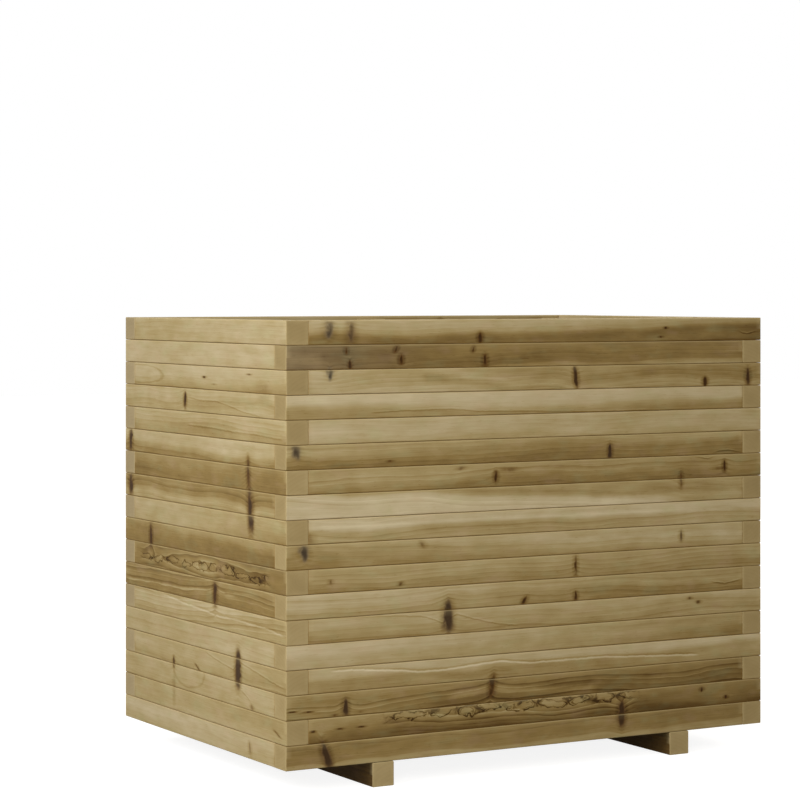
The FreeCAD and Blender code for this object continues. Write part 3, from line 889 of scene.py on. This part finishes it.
# %% Lines, loops and sawn ends
# half width in mm, extra light, and the route of the line as places on the wall
STREAKS = {
    ("front", 17): (12.0, 0.12, ((-462, 668), (-420, 666), (-385, 664))),
    ("front", 18): (1.1, -0.22, ((402, 700), (417, 694), (442, 699))),
    ("front", 13): (1.1, -0.22, ((350, 496), (368, 500), (386, 500), (408, 496))),
    ("front", 12): (1.1, -0.22, ((314, 491), (328, 489), (340, 487), (354, 491))),
    ("front", 7): (1.1, -0.20, ((344, 282), (375, 277), (413, 283))),
    ("front", 15): (1.3, -0.12, ((-305, 578), (-251, 580), (-155, 581), (-106, 576), (7, 574),
                                 (123, 570), (222, 571))),
    ("front", 6): (1.2, -0.13, ((-380, 266), (-251, 262), (-206, 258), (-172, 245), (-150, 259),
                                (-124, 251), (-81, 240), (-31, 232))),
    ("left", 15): (1.2, -0.11, ((-215, 572), (-151, 577), (-107, 584), (-56, 590), (3, 590),
                                (46, 593))),
    ("left", 14): (1.4, -0.12, ((-293, 539), (-195, 543), (-107, 544), (-34, 547), (56, 548))),
    ("left", 4): (1.2, -0.13, ((-296, 162), (-252, 167), (-201, 175), (-139, 185), (-118, 170),
                               (-74, 175), (-15, 186))),
    ("front", 4): (1.5, 0.25, ((-375, 184), (-335, 184), (-251, 177), (-215, 172), (-161, 173),
                               (-105, 177), (-68, 179), (-12, 172), (123, 172), (323, 162))),
    ("front", 10): (3.2, 0.07, ((-430, 404), (-250, 405), (135, 405), (400, 402))),
    ("front", 3): (5.5, 0.14, ((-165, 129), (-120, 133), (-83, 137), (-50, 131), (20, 126),
                               (115, 124))),
    ("left", 3): (1.2, -0.14, ((-184, 120), (-178, 129), (-164, 135), (-153, 139), (-139, 142))),
    ("left", 6): (1.6, 0.15, ((-296, 241), (-233, 247), (-128, 249), (-56, 248), (-19, 252),
                              (56, 255), (134, 262), (200, 264))),
    ("front", 16): (7.0, -0.10, ((-215, 632), (-152, 626), (-106, 619), (-50, 611), (60, 609))),
    ("front", 11): (6.0, 0.08, ((120, 428), (250, 428), (430, 429))),
    ("front", 9): (7.0, -0.09, ((60, 372), (250, 373), (430, 373))),
    ("left", 7): (3.0, 0.14, ((-125, 286), (-88, 285), (-52, 290), (-34, 286), (80, 279),
                              (199, 277), (294, 275)))}
ISLAND_SPANS = {"front": (-285.0, 205.0), "left": (-250.0, 245.0)}

# a growth ring that closes on the face: middle along and up the wall, half length, half height,
# and how dark its line is
LOOPS = {("left", 16): (235, 627, 85, 15, 0.12), ("left", 3): (46, 146, 58, 26, 0.09)}

# a stretch of a plank that weather has greyed: middle along the wall, reach, and share
WEATHER = {("front", 17): (-450, 260, 0.30)}

# extra light of the sawn ends
END_LIGHT = {
    ("left", 16): -0.03, ("left", 14): -0.03, ("left", 12): 0.11, ("left", 8): 0.03,
    ("left", 6): 0.11, ("left", 4): 0.05, ("left", 2): 0.07,
    ("front", 15): -0.03, ("front", 13): -0.07, ("front", 11): -0.07, ("front", 7): 0.03,
    ("right", 13): 0.04, ("right", 11): 0.03, ("right", 9): -0.04, ("right", 7): -0.04,
    ("right", 3): 0.05, ("right", 1): 0.04, ("back", 18): 0.04, ("back", 4): 0.08}
BACK_END_GREY = 0.27
RAIL_END_LIGHT = 0.06
print("lines", len(STREAKS), "sawn ends with a light of their own", len(END_LIGHT))

# %% [markdown]
# For the walls that aren't in the picture a seeded generator draws the facts, so each run gives the
# same box.

# %% Wood drawn by lot
ISLAND_CHANCE = 0.12
DRAWN_BETWEEN = {"tone": (-0.10, 0.13), "depth": (0.04, 0.22), "pith_across": (-40, -15),
                 "pith_up": (55, 85), "edge": (-10, 6), "soft": (5, 11), "lean": (-1, 1),
                 "wave": (0.3, 0.7), "line": (0.25, 0.6)}


def drawn_plank(rng):
    """Facts for a plank that the picture doesn't show."""
    below = rng.random() < 0.6
    facts = {name: rng.uniform(*ends) for name, ends in DRAWN_BETWEEN.items()}
    if below:
        facts["pith_up"] *= -1.0
    if rng.random() < ISLAND_CHANCE:
        facts.update(pith_across=-8.0, pith_up=4.0, wave=2.2, line=0.75, tone=-0.10, depth=-0.1)
    return facts


def drawn_knots(rng, reach, height):
    """Up to three branch stubs, kept well apart."""
    slots = rng.permutation(5)[:rng.integers(0, 4)]
    knots = []
    for slot in slots:
        tall = rng.uniform(5.0, 22.0)
        knots.append(((slot - 2) * reach * 0.36 + rng.uniform(-0.08, 0.08) * reach,
                      rng.uniform(-height, height), rng.uniform(2.5, 6.0), tall,
                      rng.uniform(-0.5, 0.5), float(rng.random() < 0.25) * 0.8,
                      rng.uniform(-0.25, 0.25), rng.uniform(0.6, 1.0)))
    return knots


print("tone of a plank by lot", round(drawn_plank(np.random.default_rng(0))["tone"], 3))

# %% [markdown]
# The walls' knots and marks are turned into those of one plank, told from its middle.

# %% Wood of one slat
KNOT_EDGE = 2.0
SLAT_KNOT_SPREAD = 12.0
WALL_READINGS = {"front": (FRONT_PLANKS, FRONT_KNOTS), "left": (LEFT_PLANKS, LEFT_KNOTS)}


def knots_of_plank(timber, wall_knots):
    """The wall's knots that cross this plank, told from its middle: place along, middle height,
    half width, half height, widening towards the top, tint, tilt and darkness."""
    level = timber.middle[2]
    centre = timber.middle @ timber.along
    reach = timber.half[2] - KNOT_EDGE
    crossing = []
    for place, top, bottom, wide_top, wide_bottom, dark, *tint_and_tilt in wall_knots:
        tint, tilt = (*tint_and_tilt, 0.0, 0.0)[:2]
        width = wide_top + wide_bottom
        if bottom < level + reach and top > level - reach:
            crossing.append((place - centre, (top + bottom) / 2.0 - level, width / 2.0,
                             (top - bottom) / 2.0, (wide_top - wide_bottom) / width, tint, tilt,
                             dark))
    return crossing


def slat_facts(wall, course, stick, wall_number):
    """Facts and knots of one slat, read where the picture shows it and drawn by lot elsewhere."""
    if wall in WALL_READINGS:
        planks, wall_knots = WALL_READINGS[wall]
        facts = dict(zip(FACT_NAMES, planks[course]))
        knots = knots_of_plank(stick, wall_knots)
    else:
        rng = np.random.default_rng(1000 * wall_number + course)
        facts = drawn_plank(rng)
        knots = drawn_knots(rng, stick.half[0], SLAT_KNOT_SPREAD)
    where = (wall, course)
    along, level = stick.middle @ stick.along, stick.middle[2]
    facts["seed"] = wall_number * 2.17 + course * 0.371
    facts["end_light"] = END_LIGHT.get(where, 0.0)
    facts["end_grey"] = BACK_END_GREY if wall == "back" else 0.0
    if where in STREAKS:
        half_width, extra_light, route = STREAKS[where]
        facts["streak"] = (half_width, extra_light, np.array(sorted(route)) - (along, level))
    if where in LOOPS:
        loop_along, loop_up, *size_and_depth = LOOPS[where]
        facts["loop"] = (loop_along - along, loop_up - level, *size_and_depth)
    if where in WEATHER:
        weather_along, *reach_and_share = WEATHER[where]
        facts["weather"] = (weather_along - along, *reach_and_share)
    if facts["wave"] > 1.0:
        facts["spacing"] = ISLAND_SPACING
        if wall in ISLAND_SPANS:
            facts["span"] = np.array(ISLAND_SPANS[wall]) - along
    return facts, knots

# %% [markdown]
# ## Laying the courses
# The measured model has one plain part for the two long slats of a course and one for the two short
# ones. Here every slat is a piece of its own, so each has its own wood. On odd courses the front
# slat starts at the left corner and the others follow round; on even courses all four are shifted
# to their other end.

# %% Laying the courses
WALLS = {"front": ((0, -1, 0), 0), "back": ((0, 1, 0), 0),
         "left": ((-1, 0, 0), 1), "right": ((1, 0, 0), 1)}  # seen direction, grain axis
ARRIS, SLAT_HOLLOW = 1.3, 0.26
# how far in mm the dust and painted shade reach from a slat's butting end, its top and its bottom
GAP_SIDE, GAP_ABOVE, GAP_BELOW = 3.0, 1.4, 2.2
full_low, full_high = node_box("long_slats_course_01")


def course_node(course, wall):
    """The plain part that holds this slat and the one across from it."""
    kind = "long" if wall in ("front", "back") else "short"
    return f"{kind}_slats_course_{course:02d}"


def starts_low(course, wall):
    """Whether the slat starts at the low end of its axis, and butts at the other one."""
    return (course % 2 == 1) == (wall in ("front", "right"))


def slat_stick(course, wall):
    """Where one slat of a course lies."""
    low, high = node_box(course_node(course, wall))
    seen, grain = WALLS[wall]
    axis = 1 - grain
    thick = high[2] - low[2]
    if seen[axis] < 0:
        high[axis] = low[axis] + thick
    else:
        low[axis] = high[axis] - thick
    low[grain], high[grain] = full_low[grain], full_high[grain]
    if starts_low(course, wall):
        high[grain] -= thick
    else:
        low[grain] += thick
    return Timber(low, high, grain, seen)


for wall_number, wall in enumerate(WALLS):
    for course in range(1, COURSES + 1):
        stick = slat_stick(course, wall)
        facts, knots = slat_facts(wall, course, stick, wall_number)
        joints = [(0, 1 if starts_low(course, wall) else -1, GAP_SIDE)]
        if course < COURSES:
            joints.append((2, 1, GAP_ABOVE))
        if course > 1:
            joints.append((2, -1, GAP_BELOW))
        name = f"{wall}_slat_{course:02d}"
        rng = np.random.default_rng(int(facts["seed"] * 1000))
        mesh = stick_mesh(name, stick, ARRIS, SLAT_HOLLOW, rng)
        mark_wood(mesh, stick, facts, knots, joints)
        hand_over(name, mesh, planed_pine, course_node(course, wall))
print("slats", len(WALLS) * COURSES)

# %% [markdown]
# ## Screws
# Every slat is screwed from the inside, through a post or a batten, and the floor boards are
# screwed down to the rails. A screw could be turned with the Screw modifier, but there are two
# hundred and only their heads show, so one outline of few rings is spun once in numpy and then set
# down at every place. The head has a six-lobed hollow. One fault is left: the faces of the spun
# bodies point inwards, and the heads lie a twentieth of a mm under the wood, so they don't show.

# %% One outline for all the screws
SCREW_SIDES = 12
SCREW_RINGS = np.array([(1.4, 1.1, 0.35), (0.2, 2.1, 0.35), (0.05, 4.3, 0.0),
                        (2.8, 2.2, 0.0)])  # depth under the face, radius, share of the lobes
SHANK_RADIUS, TIP_LENGTH = 2.1, 7.0
HOLLOW_EDGE = 0.4


def spun_rings(rings, sides):
    """A closed spun body: depth and radius of each ring, lobed by a cosine, and a middle point
    at either end. Returns its points and faces. The faces are turned round and so point inwards,
    which is wrong: tube_faces alone gives them the right way."""
    turn = 2.0 * np.pi * np.arange(sides) / sides
    radius = rings[:, 1:2] * (1.0 - rings[:, 2:3] * (0.5 - 0.5 * np.cos(6.0 * turn)))
    depth = np.broadcast_to(rings[:, :1], radius.shape)
    points = np.stack([depth, radius * np.cos(turn), radius * np.sin(turn)], axis=2)
    points = np.concatenate([points.reshape(-1, 3), [(rings[0, 0], 0, 0), (rings[-1, 0], 0, 0)]])
    quads, fans = [np.roll(faces[:, ::-1], 1, axis=1) for faces in tube_faces(len(rings), sides)]
    return points, quads, fans


def set_down(template, heads, points):
    """Copies template points, told as depth and two sideways steps, to every head: each copy is
    turned so that depth runs the way its screw points."""
    points = points / np.linalg.norm(points, axis=1, keepdims=True)
    helper = np.where(np.abs(points[:, 2:]) > 0.9, (1.0, 0.0, 0.0), (0.0, 0.0, 1.0))
    sideways = np.cross(helper, points)
    third = np.cross(points, sideways)
    basis = np.stack([points, sideways, third], axis=1)
    return (heads[:, None, :] + np.einsum("vk,skx->svx", template, basis)).reshape(-1, 3)


def copied_mesh(name, template, quads, fans, heads, points):
    """One mesh of many copies of a spun body."""
    shift = (np.arange(len(heads)) * len(template))[:, None, None]
    faces = ((quads[None] + shift).reshape(-1, 4).tolist()
             + (fans[None] + shift).reshape(-1, 3).tolist())
    mesh = bpy.data.meshes.new(name)
    mesh.from_pydata((set_down(template, heads, points) * MM).tolist(), [], faces)
    return mesh


print("points of a head", len(spun_rings(SCREW_RINGS, SCREW_SIDES)[0]))

# %% [markdown]
# The screws are hardened steel with a yellow zinc coat. The coat has a faint cloudy sheen and the
# hollow of the head is darker. Object coordinates do here,
# because the pieces stay at the origin and never turn.

# %% Yellow zinc
def zinc_material():
    """Cloudy yellow metal, dark where the screw's own fact says that the head is hollow."""
    made, start, shader = new_material("yellow_zinc_steel")
    place = start.node("ShaderNodeTexCoord", None, None, "Object")
    fine = start.node("ShaderNodeVectorMath", {"operation": "SCALE"}, {0: place, "Scale": 260.0})
    cloud = start.noise(fine, 2.0, 0.5)
    hollow = start.node("ShaderNodeAttribute", {"attribute_name": "hollow"}, None, "Fac")
    coat = cloud.step(0.3, 0.7).blend(paint(206, 176, 104), paint(184, 158, 112))
    (hollow * 0.75).blend(coat, paint(60, 52, 38)).into(shader, "Base Color")
    (cloud * 0.2 + hollow * 0.25 + 0.28).into(shader, "Roughness")
    shader.inputs["Metallic"].default_value = 0.9
    return made


yellow_zinc = zinc_material()
print("nodes in the zinc", len(yellow_zinc.node_tree.nodes))

# %% [markdown]
# ## Where the screws stand
# Screws stand in rows: up the posts and battens, one to a slat, and along the floor boards, two to
# an end. Those through the long walls and those through the short walls are at different heights
# in a slat, so they pass each other inside the post. The rails are screwed on from below, out of
# sunk holes, two to each crossing.

# %% Where the screws stand
LONG_WALL_LEVEL, SHORT_WALL_LEVEL = 14.0, 24.0
BOARDS, BOARD_EDGE = 6, 20.0
POCKET_DEPTH, POCKET_RADIUS, POCKET_STEP = 8.0, 6.0, 9.0
SIDES = (-1.0, 1.0)
post_low, post_high = node_box("corner_post_back_right")
post_middle = (post_low + post_high) / 2.0
slat_levels = np.array([node_box(course_node(course, "front"))[0][2]
                        for course in range(1, COURSES + 1)])
rail_low, rail_high = node_box("foot_rail_right")
rail_middle = (rail_low[0] + rail_high[0]) / 2.0
wall_middle = full_high[1] - (full_high[2] - full_low[2]) / 2.0
board_boxes = [node_box(f"floor_board_{number + 1}") for number in range(BOARDS)]
board_lines = [line for low, high in board_boxes
               for line in (low[1] + BOARD_EDGE, high[1] - BOARD_EDGE)]
corners = np.array([(side, end) for side in SIDES for end in SIDES])


def spots(columns, levels):
    """Every column, told by its two places on the floor, at every level."""
    columns, levels = np.array(columns, float), np.array(levels, float)
    return np.column_stack([np.repeat(columns, len(levels), axis=0),
                            np.tile(levels, len(columns))])


heads_at = {
    "long": spots(corners * (post_middle[0], post_low[1]), slat_levels[1:] + LONG_WALL_LEVEL),
    "short": spots(corners * (post_low[0], post_middle[1]), slat_levels + SHORT_WALL_LEVEL),
    "batten": spots([(0.0, side * post_low[1]) for side in SIDES],
                    slat_levels[1:] + LONG_WALL_LEVEL),
    "floor": spots([(side * rail_middle, line) for side in SIDES for line in board_lines],
                   [board_boxes[0][1][2]]),
    "rail": spots([(side * rail_middle + turn * POCKET_STEP,
                    end * wall_middle + turn * POCKET_STEP)
                   for side, end in corners for turn in SIDES], [POCKET_DEPTH])}
WAYS = {"long": (0, 1, 0), "short": (1, 0, 0), "batten": (0, 1, 0), "floor": (0, 0, -1),
        "rail": (0, 0, 1)}
points_at = {group: heads * np.array(WAYS[group], float) for group, heads in heads_at.items()}
print("screws", {group: len(heads) for group, heads in heads_at.items()})

# %% [markdown]
# Each group of screws is one piece. Its rings end in a shank of its own length, and every vertex
# says whether it lies in the hollow of the head.

# %% Making the screws
LOWER_SMOOTH_TURN = 35.0


def make_screws(name, node, group, length):
    """All the screws of one group as one piece."""
    heads, points = heads_at[group], points_at[group]
    rings = np.concatenate([SCREW_RINGS, [(length - TIP_LENGTH, SHANK_RADIUS, 0.0)]])
    template, quads, fans = spun_rings(rings, SCREW_SIDES)
    template[-1, 0] = length
    mesh = copied_mesh(name, template, quads, fans, heads, points)
    deep = np.zeros(len(template))
    deep[:SCREW_SIDES] = 1.0
    deep[SCREW_SIDES:2 * SCREW_SIDES] = HOLLOW_EDGE
    deep[-2] = 1.0
    layer = mesh.attributes.new("hollow", "FLOAT", "POINT")
    layer.data.foreach_set("value", np.tile(deep, len(heads)).astype(np.float32))
    hand_over(name, mesh, yellow_zinc, node, LOWER_SMOOTH_TURN)
    print(name, "faces of one", len(quads) + len(fans))


make_screws("screws_through_posts_long", "post_screws_long_walls", "long", 60.0)
make_screws("screws_through_posts_short", "post_screws_short_walls", "short", 60.0)
make_screws("screws_through_battens", "batten_screws", "batten", 60.0)
make_screws("screws_in_floor", "floor_screws", "floor", 45.0)
make_screws("screws_in_rails", "rail_screws", "rail", 50.0)

# %% [markdown]
# ## Posts, battens, floor boards and rails
# These inner sticks are sawn, not planed, so a fine ripple from the saw crosses their grain. A
# Boolean modifier is meant to cut the countersinks and the sunk holes under the rails. But its
# cutting bodies are inside out, like the screws, so only the outline of each hole is left on the
# face. The facts of the wood are written after it.

# %% Cutting the inner sticks
SINK_RINGS = np.array([(-0.6, 5.3, 0.0), (0.0, 4.7, 0.0), (3.0, 2.5, 0.0)])
POCKET_RINGS = np.array([(-1.0, POCKET_RADIUS, 0.0), (POCKET_DEPTH, POCKET_RADIUS, 0.0)])
POCKET_SIDES = 24


def cut_away(mesh, heads, points, rings, sides):
    """The mesh less one spun body for every head, if those bodies weren't inside out: as they
    are, it gets the outline of each hole and no depth."""
    body = bpy.data.objects.new("stick_to_cut", mesh)
    tool = bpy.data.objects.new("cutting_shapes", copied_mesh(
        "cutting_shapes", *spun_rings(rings, sides), heads, points))
    scene.collection.objects.link(body)
    scene.collection.objects.link(tool)
    cutter = body.modifiers.new("cut", "BOOLEAN")
    cutter.operation = "DIFFERENCE"
    cutter.solver = "EXACT"
    cutter.object = tool
    graph = bpy.context.evaluated_depsgraph_get()
    result = bpy.data.meshes.new_from_object(body.evaluated_get(graph))
    bpy.data.objects.remove(body)
    bpy.data.objects.remove(tool)
    return result

# %% [markdown]
# Each inner stick draws its wood by lot and then gets the outlines of its holes. The rails are the
# one kind that the picture shows, so their tone and the light of their sawn ends are given; their
# low tone is painted shade, which darkens their long faces under the box.

# %% Making the inner sticks
INNER_ARRIS, INNER_HOLLOW = 1.5, 0.12
INNER_KNOT_SPREAD = 0.6
SKIN = 0.5
INWARD = {"front": (0, 1, 0), "back": (0, -1, 0)}
OUTWARD = {"left": (-1, 0, 0), "right": (1, 0, 0)}
# the rails' low tone is painted shade: their long faces are kept dark as if shaded under the box
RAIL_FACTS_WITH_PAINTED_SHADE = {"tone": -0.46, "depth": 0.05, "end_light": RAIL_END_LIGHT}


def make_inner(name, node, grain, seen, seed, groups, given=None):
    """One sawn stick with the outlines of its holes; given facts go before those drawn by lot."""
    stick = Timber(*node_box(node), grain, seen)
    rng = np.random.default_rng(seed)
    facts = {**drawn_plank(rng), **(given or {}), "seed": seed * 0.613}
    knots = drawn_knots(rng, stick.half[0], stick.half[2] * INNER_KNOT_SPREAD)
    mesh = stick_mesh(name, stick, INNER_ARRIS, INNER_HOLLOW, rng)
    for group in groups:
        sunk = group == "rail"
        heads = heads_at[group] - (0.0, 0.0, POCKET_DEPTH if sunk else 0.0)
        on_skin = np.all(np.abs(stick.to_grain(heads)) < stick.half + SKIN, axis=1)
        if on_skin.any():
            mesh = cut_away(mesh, heads[on_skin], points_at[group][on_skin],
                            POCKET_RINGS if sunk else SINK_RINGS,
                            POCKET_SIDES if sunk else SCREW_SIDES)
    mesh.name = name
    mark_wood(mesh, stick, facts, knots)
    mesh.materials.clear()
    hand_over(name, mesh, sawn_pine, node)
    print(name, "faces", len(mesh.polygons))


wall_screws = ("long", "short", "batten")
corner_names = [(end, side) for end in INWARD for side in OUTWARD]
for number, (end, side) in enumerate(corner_names):
    make_inner(f"post_{end}_{side}", f"corner_post_{end}_{side}", 2, INWARD[end],
               211 + number, wall_screws)
for number, end in enumerate(INWARD):
    make_inner(f"batten_{end}", f"wall_batten_{end}", 2, INWARD[end],
               221 + number, wall_screws)
for number in range(1, BOARDS + 1):
    make_inner(f"bottom_board_{number}", f"floor_board_{number}", 0, (0, 0, 1),
               230 + number, ("floor",))
for number, side in enumerate(OUTWARD):
    make_inner(f"rail_{side}", f"foot_rail_{side}", 1, OUTWARD[side],
               241 + number, ("rail",), RAIL_FACTS_WITH_PAINTED_SHADE)
